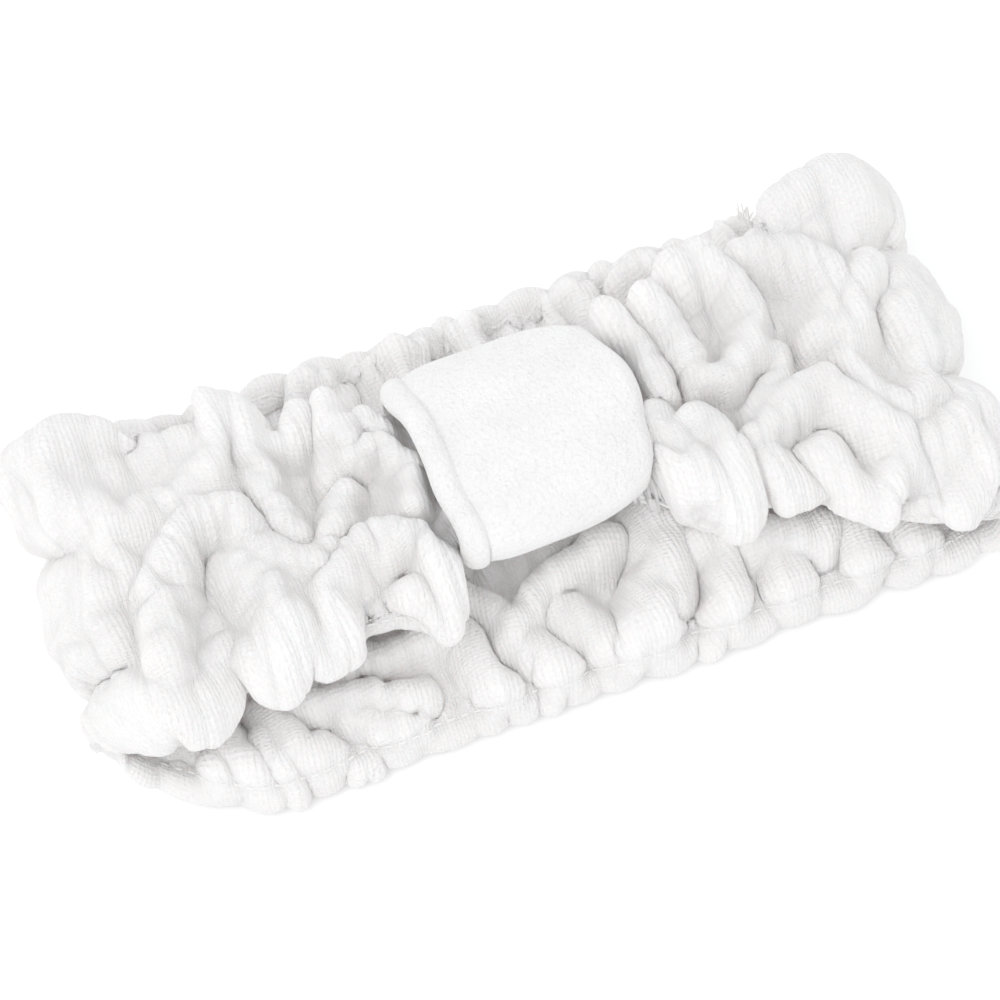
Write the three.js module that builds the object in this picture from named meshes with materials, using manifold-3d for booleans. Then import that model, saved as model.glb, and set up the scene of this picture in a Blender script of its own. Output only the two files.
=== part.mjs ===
// Stretch-terry spa headband, relaxed and lying flat: a ruched cloth loop with an elastic in each edge,
// cinched at the front by a plain square keeper tab.
//
// Frame: millimetres, +X along the flattened loop, +Y across it, +Z up. The origin is the middle of the
// underside, on the surface that the band lies on. The back section lies on that surface, the front
// section with the keeper lies over it, and the loop that takes the head runs between them along Y.
// Cloth pieces are plain solids of the space that the gathered terry fills.

import * as THREE from "three";
import { mergeVertices } from "three/addons/utils/BufferGeometryUtils.js";
import Module from "manifold-3d";

// ---- driving dimensions -------------------------------------------------------------------------

const LOOP_LENGTH = 217; // the flattened loop, end to end
const BACK_WIDTH = 98; // across the relaxed back section
const BACK_THICK = 15; // gathered cloth of the back section
const LOOP_GAP = 10; // free height between the back and front sections
const FRONT_THICK = 17; // gathered cloth of the front section
const SECTION_HALF = 84; // from the middle to where the cloth starts to turn round at each end
const FRONT_END_WIDTH = 84; // across the front section where it meets the end folds
const NECK_WIDTH = 42; // across the front section inside the keeper
const FLARE = 62; // length over which the front section widens from the neck

const KEEPER_X = 2; // the keeper sits just off the middle
const KEEPER_LENGTH = 46; // along the band
const KEEPER_PLY = 2.2; // its doubled terry
const KEEPER_CORNER = 6;

const ELASTIC_WIDTH = 6;
const ELASTIC_THICK = 1.2;
const ELASTIC_INSET = 6; // from the cloth's edge to the middle of the elastic
const STITCH_INSET = 11; // from the cloth's edge to the row that closes the casing
const THREAD = 0.6;

const CLEAR = 0.3; // between pieces that touch on the real band
const SOFT_EDGE = 4; // rounding of the cloth's edges

// ---- dimensions that follow ---------------------------------------------------------------------

const BACK_TOP = BACK_THICK;
const FRONT_BOTTOM = BACK_TOP + LOOP_GAP;
const FRONT_TOP = FRONT_BOTTOM + FRONT_THICK;
const END_REACH = (LOOP_LENGTH - CLEAR) / 2 - SECTION_HALF; // an end fold's reach past its section
const END_HOLLOW = 8; // how far the loop's gap runs into an end fold
const GAP_MIDDLE = BACK_TOP + LOOP_GAP / 2;
const NECK_FLAT = KEEPER_LENGTH / 2 + 2;

const wasm = await Module();
wasm.setup();

// ---- solids -------------------------------------------------------------------------------------

/** A closed geometry as a solid that can be joined and cut. */
function solidOf(geometry) {
  const bare = geometry.index ? geometry.toNonIndexed() : geometry.clone();
  bare.deleteAttribute("normal");
  bare.deleteAttribute("uv");
  const merged = mergeVertices(bare, 1e-3);
  return new wasm.Manifold(
    new wasm.Mesh({
      numProp: 3,
      vertProperties: merged.attributes.position.array,
      triVerts: new Uint32Array(merged.index.array),
    }),
  );
}

/** A solid as a geometry to draw. */
function geometryOf(solid) {
  const mesh = solid.getMesh();
  const geometry = new THREE.BufferGeometry();
  const places = new THREE.BufferAttribute(mesh.vertProperties, 3);
  geometry.setAttribute("position", places);
  geometry.setIndex(new THREE.BufferAttribute(mesh.triVerts, 1));
  geometry.computeVertexNormals();
  return geometry;
}

/** A box from its low and high corners. */
function boxBetween(low, high) {
  const size = high.map((h, k) => h - low[k]);
  const middle = high.map((h, k) => (h + low[k]) / 2);
  return new THREE.BoxGeometry(...size).translate(...middle);
}

/** A plan outline extruded from low to high along Z, with its long edges rounded, and square ends. */
function cushion(outline, low, high) {
  const body = new THREE.ExtrudeGeometry(outline, {
    depth: high - low - 2 * SOFT_EDGE,
    bevelSize: SOFT_EDGE,
    bevelOffset: -SOFT_EDGE,
    bevelThickness: SOFT_EDGE,
    bevelSegments: 3,
  }).translate(0, 0, low + SOFT_EDGE);
  const end = SECTION_HALF - CLEAR / 2;
  const between = boxBetween([-end, -LOOP_LENGTH, low - 1], [end, LOOP_LENGTH, high + 1]);
  return solidOf(body).intersect(solidOf(between));
}

/** A closed band of rectangular section that follows a closed run of points. */
function closedTape(points, halfWidth, halfThick, lift = 0) {
  const places = [];
  const count = points.length;
  for (let i = 0; i < count; i += 1) {
    const along = points[(i + 1) % count].clone().sub(points[(i + count - 1) % count]);
    const out = new THREE.Vector3(-along.z, 0, along.x).normalize();
    const across = new THREE.Vector3().crossVectors(out, along).normalize();
    for (const [a, o] of [[-1, -1], [1, -1], [1, 1], [-1, 1]]) {
      const corner = points[i].clone();
      corner.addScaledVector(across, a * halfWidth);
      corner.addScaledVector(out, o * halfThick + lift);
      places.push(...corner.toArray());
    }
  }
  const faces = [];
  for (let i = 0; i < count; i += 1) {
    const here = 4 * i;
    const next = 4 * ((i + 1) % count);
    for (let k = 0; k < 4; k += 1) {
      const m = (k + 1) % 4;
      faces.push(here + k, next + m, next + k, here + k, here + m, next + m);
    }
  }
  const geometry = new THREE.BufferGeometry();
  geometry.setAttribute("position", new THREE.Float32BufferAttribute(places, 3));
  geometry.setIndex(faces);
  return geometry;
}

// ---- the loop's lines ---------------------------------------------------------------------------

/** Half the front section's width at a place along the band: narrow in the keeper, wide at the ends. */
function frontHalfWidth(x) {
  const out = Math.abs(x - KEEPER_X) - NECK_FLAT;
  const share = THREE.MathUtils.smootherstep(out, -FLARE / 3, FLARE);
  const atNeck = THREE.MathUtils.smootherstep(0, -FLARE / 3, FLARE);
  const rise = Math.max(0, share - atNeck) / (1 - atNeck);
  return NECK_WIDTH / 2 + (rise * (FRONT_END_WIDTH - NECK_WIDTH)) / 2;
}

/**
 * A closed run of points round the loop, seen from the front: along the front section, round the left
 * end, back along the back section and round the right end. The run stays inset from the cloth's edge
 * on the given side (1 upper, -1 lower). Its turns are half ellipses, reach wide, between the heights.
 */
function aroundLoop(side, inset, frontHeight, backHeight, reach) {
  const FRONT_STEPS = 48;
  const TURN_STEPS = 14;
  const middle = (frontHeight + backHeight) / 2;
  const rise = (frontHeight - backHeight) / 2;
  const points = [];
  for (let i = 0; i <= FRONT_STEPS; i += 1) {
    const x = SECTION_HALF * (1 - (2 * i) / FRONT_STEPS);
    points.push(new THREE.Vector3(x, side * (frontHalfWidth(x) - inset), frontHeight));
  }
  const turn = (end, from, to) => {
    for (let i = 1; i < TURN_STEPS; i += 1) {
      const angle = (Math.PI * i) / TURN_STEPS;
      const blend = THREE.MathUtils.smoothstep(i / TURN_STEPS, 0, 1);
      const x = end * (SECTION_HALF + reach * Math.sin(angle));
      const z = middle + rise * Math.cos(angle) * (from > to ? 1 : -1);
      const fromFront = from > to ? 1 - blend : blend;
      const half = THREE.MathUtils.lerp(BACK_WIDTH, FRONT_END_WIDTH, fromFront) / 2;
      points.push(new THREE.Vector3(x, side * (half - inset), z));
    }
  };
  turn(-1, frontHeight, backHeight);
  for (const x of [-SECTION_HALF, -SECTION_HALF / 3, SECTION_HALF / 3, SECTION_HALF]) {
    points.push(new THREE.Vector3(x, side * (BACK_WIDTH / 2 - inset), backHeight));
  }
  turn(1, backHeight, frontHeight);
  return points;
}

const SIDES = { upper: 1, lower: -1 };
const ELASTIC_FRONT_Z = (FRONT_BOTTOM + FRONT_TOP) / 2;
const ELASTIC_BACK_Z = BACK_THICK / 2;
const ELASTIC_REACH = 15;

/** The line of an edge's elastic, in the middle of the cloth's thickness. */
function elasticLine(side) {
  return aroundLoop(side, ELASTIC_INSET, ELASTIC_FRONT_Z, ELASTIC_BACK_Z, ELASTIC_REACH);
}

/** The line of an edge's casing stitches, just under the cloth's surface inside the loop. */
function stitchLine(side) {
  const sunk = THREAD * 0.75;
  return aroundLoop(side, STITCH_INSET, FRONT_BOTTOM + sunk, BACK_TOP - sunk, END_HOLLOW + sunk);
}

/** The elastics' casings and the stitch rows' grooves, to cut from a cloth solid. */
function cutChannels(cloth) {
  let cut = cloth;
  for (const side of Object.values(SIDES)) {
    const casing = closedTape(elasticLine(side), ELASTIC_WIDTH / 2 + 0.9, ELASTIC_THICK + 1.2);
    const groove = closedTape(stitchLine(side), THREAD / 2 + CLEAR, THREAD, -0.2);
    cut = cut.subtract(solidOf(casing)).subtract(solidOf(groove));
  }
  return cut;
}

// ---- cloth --------------------------------------------------------------------------------------

/** The back section, which lies on the table, with the recess that its join seam sits in. */
function backSection() {
  const half = BACK_WIDTH / 2;
  const past = SECTION_HALF + 2 * SOFT_EDGE;
  const outline = new THREE.Shape([
    new THREE.Vector2(-past, -half),
    new THREE.Vector2(past, -half),
    new THREE.Vector2(past, half),
    new THREE.Vector2(-past, half),
  ]);
  const recess = boxBetween(
    [JOIN_X - JOIN_WIDTH / 2 - 1.6, -JOIN_HALF - CLEAR, BACK_TOP - JOIN_SUNK - CLEAR],
    [JOIN_X + JOIN_WIDTH / 2 + CLEAR, JOIN_HALF + CLEAR, BACK_TOP + 1],
  );
  return cutChannels(cushion(outline, 0, BACK_TOP)).subtract(solidOf(recess));
}

/** The front section: a bow-tie in plan, narrow where the keeper cinches it. */
function frontSection() {
  const OUTLINE_STEPS = 44;
  const past = SECTION_HALF + 2 * SOFT_EDGE;
  const edge = Array.from({ length: OUTLINE_STEPS + 1 }, (_, i) => {
    const x = past * ((2 * i) / OUTLINE_STEPS - 1);
    return new THREE.Vector2(x, -frontHalfWidth(x));
  });
  const farEdge = edge.map((p) => new THREE.Vector2(p.x, -p.y)).reverse();
  const outline = new THREE.Shape([...edge, ...farEdge]);
  return cutChannels(cushion(outline, FRONT_BOTTOM, FRONT_TOP));
}

/** One end of the loop, where the cloth turns from the front section round to the back section. */
function endFold(end) {
  const start = SECTION_HALF + CLEAR / 2;
  const ROUND = 6;
  const profile = new THREE.Shape();
  profile.moveTo(start, 0);
  profile.absellipse(start, FRONT_TOP / 2, END_REACH, FRONT_TOP / 2, -Math.PI / 2, Math.PI / 2, false);
  profile.lineTo(start, FRONT_BOTTOM);
  profile.absellipse(start, GAP_MIDDLE, END_HOLLOW, LOOP_GAP / 2, Math.PI / 2, -Math.PI / 2, true);
  profile.closePath();
  const width = (BACK_WIDTH + FRONT_END_WIDTH) / 2 + 4;
  const fold = new THREE.ExtrudeGeometry(profile, {
    depth: width - 2 * ROUND,
    bevelSize: 2,
    bevelOffset: -2,
    bevelThickness: ROUND,
    bevelSegments: 2,
    curveSegments: 10,
  });
  fold.translate(0, 0, ROUND - width / 2).rotateX(Math.PI / 2);
  const limit = boxBetween([start, -width, -1], [LOOP_LENGTH, width, FRONT_TOP + 1]);
  let solid = solidOf(fold).intersect(solidOf(limit));
  if (end < 0) solid = solid.mirror([1, 0, 0]);
  return cutChannels(solid);
}

// ---- seams --------------------------------------------------------------------------------------

const JOIN_X = 72; // the seam that closes the band, on the back section
const JOIN_WIDTH = 5;
const JOIN_HALF = BACK_WIDTH / 2 - STITCH_INSET - 1.5;
const JOIN_SUNK = 1;
const JOIN_PROUD = 0.8;
const TAIL_LENGTH = 5;
const TAIL_LEAN = Math.PI / 4;

/** The seam allowance inside the back section, from one casing to the other. */
function bandJoinSeam() {
  return boxBetween(
    [JOIN_X - JOIN_WIDTH / 2, -JOIN_HALF, BACK_TOP - JOIN_SUNK],
    [JOIN_X + JOIN_WIDTH / 2, JOIN_HALF, BACK_TOP + JOIN_PROUD],
  );
}

/** The overlock thread along that allowance's free edge. */
function bandJoinStitch() {
  const free = JOIN_X - JOIN_WIDTH / 2 - CLEAR;
  return boxBetween(
    [free - THREAD, -JOIN_HALF, BACK_TOP - JOIN_SUNK],
    [free, JOIN_HALF, BACK_TOP - JOIN_SUNK + THREAD],
  );
}

/** The overlock chain's loose end, which stands up and leans out over the upper edge. */
function threadTail() {
  const TOP_RADIUS = 0.4;
  const ROOT_RADIUS = 0.8;
  const root = BACK_WIDTH / 2 - SOFT_EDGE;
  const tail = new THREE.CylinderGeometry(TOP_RADIUS, ROOT_RADIUS, TAIL_LENGTH, 8);
  tail.translate(0, TAIL_LENGTH / 2, 0).rotateX(TAIL_LEAN);
  return tail.translate(JOIN_X, root, BACK_TOP + ROOT_RADIUS * Math.sin(TAIL_LEAN) + CLEAR);
}

/** A rounded rectangle in the YZ plane, centred on height middle. */
function roundedRect(halfWide, halfHigh, radius) {
  const shape = new THREE.Shape();
  const quarter = Math.PI / 2;
  const corners = [[1, 1], [-1, 1], [-1, -1], [1, -1]];
  corners.forEach(([a, b], i) => {
    const centre = [a * (halfWide - radius), b * (halfHigh - radius)];
    shape.absarc(...centre, radius, i * quarter, (i + 1) * quarter, false);
  });
  shape.closePath();
  return shape;
}

const KEEPER_HALF_WIDE = NECK_WIDTH / 2 + CLEAR + KEEPER_PLY;
const KEEPER_HALF_HIGH = FRONT_THICK / 2 + CLEAR + KEEPER_PLY;
const KEEPER_MIDDLE = (FRONT_BOTTOM + FRONT_TOP) / 2;

/** The keeper: a wide terry loop round the neck of the front section, open along X. */
function keeperTab() {
  const outline = roundedRect(KEEPER_HALF_WIDE, KEEPER_HALF_HIGH, KEEPER_CORNER);
  const inside = [KEEPER_HALF_WIDE - KEEPER_PLY, KEEPER_HALF_HIGH - KEEPER_PLY];
  outline.holes.push(roundedRect(...inside, KEEPER_CORNER - KEEPER_PLY));
  const ring = new THREE.ExtrudeGeometry(outline, {
    depth: KEEPER_LENGTH,
    bevelEnabled: false,
    curveSegments: 5,
  });
  ring.rotateX(Math.PI / 2).rotateZ(Math.PI / 2);
  return ring.translate(KEEPER_X - KEEPER_LENGTH / 2, 0, KEEPER_MIDDLE);
}

const KEEPER_UNDER = KEEPER_MIDDLE - KEEPER_HALF_HIGH - CLEAR;
const KEEPER_SEAM = { width: 4, high: 1.3, side: 1.5 };

/** The keeper's closing seam, under it and inside the loop. */
function keeperSeam() {
  const half = KEEPER_LENGTH / 2 - KEEPER_SEAM.side;
  return boxBetween(
    [KEEPER_X - half, -KEEPER_SEAM.width / 2, KEEPER_UNDER - KEEPER_SEAM.high],
    [KEEPER_X + half, KEEPER_SEAM.width / 2, KEEPER_UNDER],
  );
}

/** The thread that closes the keeper, beside that seam. */
function keeperSeamStitch() {
  const half = KEEPER_LENGTH / 2 - KEEPER_SEAM.side;
  const start = KEEPER_SEAM.width / 2 + CLEAR;
  return boxBetween(
    [KEEPER_X - half, start, KEEPER_UNDER - THREAD],
    [KEEPER_X + half, start + THREAD, KEEPER_UNDER],
  );
}

/** The zigzag that joins an elastic's lapped ends, on the tape inside the back section's casing. */
function bartack(side) {
  const TACK = { x: 40, long: 12, wide: 4, high: 0.6 };
  const y = side * (BACK_WIDTH / 2 - ELASTIC_INSET);
  const base = ELASTIC_BACK_Z + ELASTIC_THICK / 2 + CLEAR;
  return boxBetween(
    [TACK.x - TACK.long / 2, y - TACK.wide / 2, base],
    [TACK.x + TACK.long / 2, y + TACK.wide / 2, base + TACK.high],
  );
}

// ---- assembly -----------------------------------------------------------------------------------

const terry = new THREE.MeshStandardMaterial({ color: 0xf1eeec, roughness: 0.95 });
const keeperTerry = new THREE.MeshStandardMaterial({ color: 0xf5f4f2, roughness: 0.9 });
const elastic = new THREE.MeshStandardMaterial({ color: 0xe9e7e2, roughness: 0.7 });
const thread = new THREE.MeshStandardMaterial({ color: 0xf7f6f3, roughness: 0.6 });

const headband = new THREE.Group();

/** Adds one named piece to the headband. */
function add(name, geometry, material) {
  const mesh = new THREE.Mesh(geometry, material);
  mesh.name = name;
  headband.add(mesh);
}

add("back_section", geometryOf(backSection()), terry);
add("front_section", geometryOf(frontSection()), terry);
add("left_end_fold", geometryOf(endFold(-1)), terry);
add("right_end_fold", geometryOf(endFold(1)), terry);
for (const [edge, side] of Object.entries(SIDES)) {
  const tape = closedTape(elasticLine(side), ELASTIC_WIDTH / 2, ELASTIC_THICK / 2);
  const row = closedTape(stitchLine(side), THREAD / 2, THREAD / 2);
  add(`${edge}_elastic`, tape, elastic);
  add(`${edge}_elastic_bartack`, bartack(side), thread);
  add(`${edge}_casing_stitch`, row, thread);
}
add("keeper_tab", keeperTab(), keeperTerry);
add("keeper_seam", keeperSeam(), keeperTerry);
add("keeper_seam_stitch", keeperSeamStitch(), thread);
add("band_join_seam", bandJoinSeam(), terry);
add("band_join_stitch", bandJoinStitch(), thread);
add("seam_thread_tail", threadTail(), thread);

export default headband;
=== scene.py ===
import logging
import math
from dataclasses import dataclass, field
from enum import Enum

import bpy
import numpy as np
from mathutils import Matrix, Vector


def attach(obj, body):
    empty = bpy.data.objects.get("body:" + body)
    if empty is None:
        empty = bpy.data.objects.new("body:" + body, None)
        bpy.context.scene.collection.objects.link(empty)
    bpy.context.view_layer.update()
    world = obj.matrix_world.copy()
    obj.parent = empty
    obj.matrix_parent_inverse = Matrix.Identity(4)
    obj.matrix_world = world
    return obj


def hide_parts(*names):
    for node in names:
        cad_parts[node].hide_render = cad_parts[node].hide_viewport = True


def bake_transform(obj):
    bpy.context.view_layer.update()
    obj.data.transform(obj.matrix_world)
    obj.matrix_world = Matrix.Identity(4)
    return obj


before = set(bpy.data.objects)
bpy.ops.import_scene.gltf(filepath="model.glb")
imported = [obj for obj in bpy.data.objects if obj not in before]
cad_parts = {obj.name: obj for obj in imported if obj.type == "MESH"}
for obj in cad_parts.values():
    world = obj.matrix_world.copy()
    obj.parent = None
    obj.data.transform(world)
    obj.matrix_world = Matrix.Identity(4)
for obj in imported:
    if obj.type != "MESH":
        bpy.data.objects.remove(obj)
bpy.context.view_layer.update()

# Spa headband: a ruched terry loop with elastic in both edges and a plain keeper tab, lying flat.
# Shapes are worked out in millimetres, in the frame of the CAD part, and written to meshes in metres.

LOG = logging.getLogger("headband")
MM = 0.001
Array = np.ndarray


# ---- plain mathematics ----------------------------------------------------------------------------


def smoothstep(x: Array | float, low: float, high: float) -> Array:
    """A ramp from 0 at low to 1 at high with level ends: t*t*(3 - 2t), t being the clipped share."""
    t = np.clip((np.asarray(x, float) - low) / (high - low), 0.0, 1.0)
    return t * t * (3.0 - 2.0 * t)


def soft_max(layers: Array, softness: float) -> Array:
    """The largest of the layers, rounded where two of them meet.

    softness * log(sum(exp(layer / softness))), taken over the first axis.

    Args:
        layers: heights in mm, stacked on the first axis.
        softness: how far the meeting lines are rounded, in mm.

    Returns:
        The rounded maximum, in mm.
    """
    top = layers.max(axis=0)
    return top + softness * np.log(np.exp((layers - top) / softness).sum(axis=0))


def distance_to_line(x: Array, y: Array, line: tuple[tuple[float, float], ...]) -> Array:
    """Plan distance from each point to a run of straight stretches.

    For each stretch a-b the nearest point is a + clip((p - a).(b - a) / |b - a|^2) (b - a).

    Args:
        x: the points' first coordinates.
        y: their second coordinates.
        line: the corners of the run.

    Returns:
        The distance to the nearest stretch.
    """
    near = np.full(np.shape(x), np.inf)
    for (ax, ay), (bx, by) in zip(line[:-1], line[1:]):
        dx, dy = bx - ax, by - ay
        share = np.clip(((x - ax) * dx + (y - ay) * dy) / (dx * dx + dy * dy), 0.0, 1.0)
        near = np.minimum(near, np.hypot(x - ax - share * dx, y - ay - share * dy))
    return near


def resample(grid: Array, count: int, axis: int, closed: bool) -> Array:
    """A finer grid by Catmull-Rom interpolation along one axis.

    With p0..p3 round a place t of the middle stretch, the value is
    0.5 (2 p1 + (p2 - p0) t + (2 p0 - 5 p1 + 4 p2 - p3) t^2 + (3 p1 - p0 - 3 p2 + p3) t^3).

    Args:
        grid: values, of any shape.
        count: how many samples the result has along the axis.
        axis: which axis to refine.
        closed: whether the axis comes round to its own start.

    Returns:
        The refined grid.
    """
    values = np.moveaxis(grid, axis, 0)
    length = len(values)
    spans = length if closed else length - 1
    place = np.arange(count) * spans / (count if closed else count - 1)
    base = np.minimum(np.floor(place).astype(int), spans - 1)
    t = (place - base).reshape((-1,) + (1,) * (values.ndim - 1))

    def pick(step: int) -> Array:
        index = base + step
        return values[index % length if closed else np.clip(index, 0, length - 1)]

    p0, p1, p2, p3 = (pick(step) for step in (-1, 0, 1, 2))
    fine = 0.5 * (
        2 * p1 + (p2 - p0) * t + (2 * p0 - 5 * p1 + 4 * p2 - p3) * t**2
        + (3 * p1 - p0 - 3 * p2 + p3) * t**3
    )
    return np.moveaxis(fine, 0, axis)


def unit(vectors: Array) -> Array:
    """The vectors along the last axis, each divided by its own length."""
    return vectors / np.maximum(np.linalg.norm(vectors, axis=-1, keepdims=True), 1e-9)


def grid_normals(points: Array) -> Array:
    """Unit normals of a grid that is closed along its first axis: d(point)/du x d(point)/dv."""
    along = np.roll(points, -1, axis=0) - np.roll(points, 1, axis=0)
    across = np.gradient(points, axis=1)
    return unit(np.cross(along, across))


def smooth_noise(rng: np.random.Generator, count: int, waves: int) -> Array:
    """A closed, smooth random run of values from about -1 to 1, made of the given number of waves."""
    t = np.arange(count) * 2 * math.pi / count
    orders = np.arange(1, waves + 1)
    size = rng.normal(size=waves)
    turn = rng.uniform(0, 2 * math.pi, waves)
    run = (size[:, None] * np.sin(orders[:, None] * t + turn[:, None])).sum(axis=0)
    return run / np.abs(run).max()


def sway(share: Array, turns: int) -> Array:
    """A zigzag between -1 and 1 with so many turns while share goes from 0 to 1."""
    return 2 * np.abs(2 * np.mod(share * turns, 1) - 1) - 1


def banded_noise(
    rng: np.random.Generator, shape: tuple[int, int], size: tuple[float, float], wave: tuple[float, float]
) -> Array:
    """A smooth random field on a grid, with swells of about the given length along each axis.

    White noise is filtered by exp(-|k wave / 2 pi|^2 / 2), k being the wave vector, and divided by its
    own spread, so that most of it lies between -2 and 2. The field comes round along both axes.

    Args:
        rng: the source of the noise.
        shape: the grid's counts.
        size: the grid's extents, in mm.
        wave: the shortest swell along each axis, in mm.

    Returns:
        The field.
    """
    noise = np.fft.fft2(rng.normal(size=shape))
    ku = np.fft.fftfreq(shape[0], size[0] / shape[0])[:, None] * wave[0]
    kv = np.fft.fftfreq(shape[1], size[1] / shape[1])[None, :] * wave[1]
    soft = np.fft.ifft2(noise * np.exp(-2.0 * (ku**2 + kv**2))).real
    return (soft - soft.mean()) / soft.std()


# ---- meshes ---------------------------------------------------------------------------------------


def grid_faces(rows: int, columns: int, closed_rows: bool, closed_columns: bool) -> Array:
    """Quads of a grid whose point (i, j) has the number i * columns + j, facing along du x dv."""
    i = np.arange(rows if closed_rows else rows - 1)
    j = np.arange(columns if closed_columns else columns - 1)
    i, j = np.meshgrid(i, j, indexing="ij")
    near, far = (i % rows) * columns, ((i + 1) % rows) * columns
    left, right = j % columns, (j + 1) % columns
    quads = np.stack([near + left, far + left, far + right, near + right], axis=-1)
    return quads.reshape(-1, 4)


def new_mesh(name: str, points_mm: Array, faces: Array | list, uv: Array | None = None) -> bpy.types.Object:
    """A smooth-shaded object from points and faces.

    Args:
        name: the piece's name.
        points_mm: its points, in mm.
        faces: its faces as rows of point numbers.
        uv: two values for each corner of each face, if it has a map.

    Returns:
        The new object, at the origin.
    """
    mesh = bpy.data.meshes.new(name)
    points = (np.asarray(points_mm, float).reshape(-1, 3) * MM).tolist()
    mesh.from_pydata(points, [], faces if isinstance(faces, list) else faces.tolist())
    mesh.polygons.foreach_set("use_smooth", np.ones(len(mesh.polygons), bool))
    if uv is not None:
        layer = mesh.uv_layers.new(name="cloth")
        layer.data.foreach_set("uv", np.asarray(uv, np.float32).ravel())
    mesh.update()
    obj = bpy.data.objects.new(name, mesh)
    bpy.context.scene.collection.objects.link(obj)
    return obj


def level_square(name: str, reach: float) -> bpy.types.Object:
    """A level square at height 0 that reaches so many mm each way from the middle."""
    corners = np.array([[-1, -1, 0], [1, -1, 0], [1, 1, 0], [-1, 1, 0]])
    return new_mesh(name, corners * reach, np.array([[0, 1, 2, 3]]))


def slab(
    name: str,
    middle: Array,
    normals: Array,
    half: Array,
    closed: bool,
    cut: tuple[float, float] | None = None,
) -> bpy.types.Object:
    """A closed strip of cloth or tape from its middle surface.

    The outer face is middle + half * normal and the inner face middle - half * normal. The two share
    nothing: the first and last columns are joined by the strip's rounded rims, where half is small.

    Args:
        name: the piece's name.
        middle: the middle surface, rows along the strip and columns across it, in mm.
        normals: its unit normals.
        half: half the thickness at each of its points, in mm.
        closed: whether the strip's rows come round to their own start.
        cut: the open strip's length and width as cut, in mm, if it has a map of its cloth.

    Returns:
        The piece.
    """
    half = np.broadcast_to(half, middle.shape[:2])[..., None]
    skin = np.concatenate([middle + half * normals, (middle - half * normals)[:, ::-1]], axis=1)
    rows, count = skin.shape[:2]
    faces = grid_faces(rows, count, closed, True)
    if not closed:
        near = np.arange(count // 2 - 1)
        cap = np.stack([near, near + 1, count - 2 - near, count - 1 - near], -1)
        faces = np.concatenate([faces, cap, cap[:, ::-1] + (rows - 1) * count])
    if cut is None:
        return new_mesh(name, skin, faces)
    row, column = np.divmod(faces, count)
    across = np.minimum(column, count - 1 - column) / (count // 2 - 1)
    uv = np.stack([row / (rows - 1) * cut[0], across * cut[1]], -1) * MM
    return new_mesh(name, skin, faces, uv)


def tube_grid(path: Array, up: Array, radius: Array, sides: int) -> Array:
    """Rings round paths: at each path point, radius * (cos(a) up + sin(a) (up x along)).

    Args:
        path: points of one or more paths, the last two axes being place and coordinate, in mm.
        up: a direction across the path at each point.
        radius: the thread's radius at each place of a path, in mm.
        sides: how many corners a ring has.

    Returns:
        The rings' points, with an axis for the corners before the coordinates.
    """
    along = unit(np.gradient(path, axis=-2))
    side = unit(np.cross(up, along))
    up = np.cross(along, side)
    turn = np.arange(sides) * 2 * math.pi / sides
    ring = up[..., None, :] * np.cos(turn)[:, None] + side[..., None, :] * np.sin(turn)[:, None]
    return path[..., None, :] + ring * np.asarray(radius)[..., None, None]


def threads(name: str, path: Array, up: Array, radius: float, sides: int = 6) -> bpy.types.Object:
    """Pieces of thread, one for each path, that taper to a point over their last stretch.

    The radius along a path of shares t is radius * (1 - (2t - 1)^8)^0.5, with a closed cap at each end.

    Args:
        name: the piece's name.
        path: the paths: one axis for the threads, one for the places, one for the coordinates, in mm.
        up: a direction across the path at each point.
        radius: the thread's radius, in mm.
        sides: how many corners the thread's section has.

    Returns:
        The piece, which holds them all.
    """
    count, places = path.shape[:2]
    share = np.linspace(-1, 1, places)
    taper = radius * np.sqrt(np.clip(1 - share**8, 0.02, 1))
    rings = tube_grid(path, up, taper, sides)
    sheet = grid_faces(places, sides, False, True)
    start = np.arange(sides)
    each = [*sheet.tolist(), start.tolist(), (start[::-1] + (places - 1) * sides).tolist()]
    step = places * sides
    faces = [[corner + step * k for corner in face] for k in range(count) for face in each]
    return new_mesh(name, rings, faces)


# ---- the smooth loop ------------------------------------------------------------------------------


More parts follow.
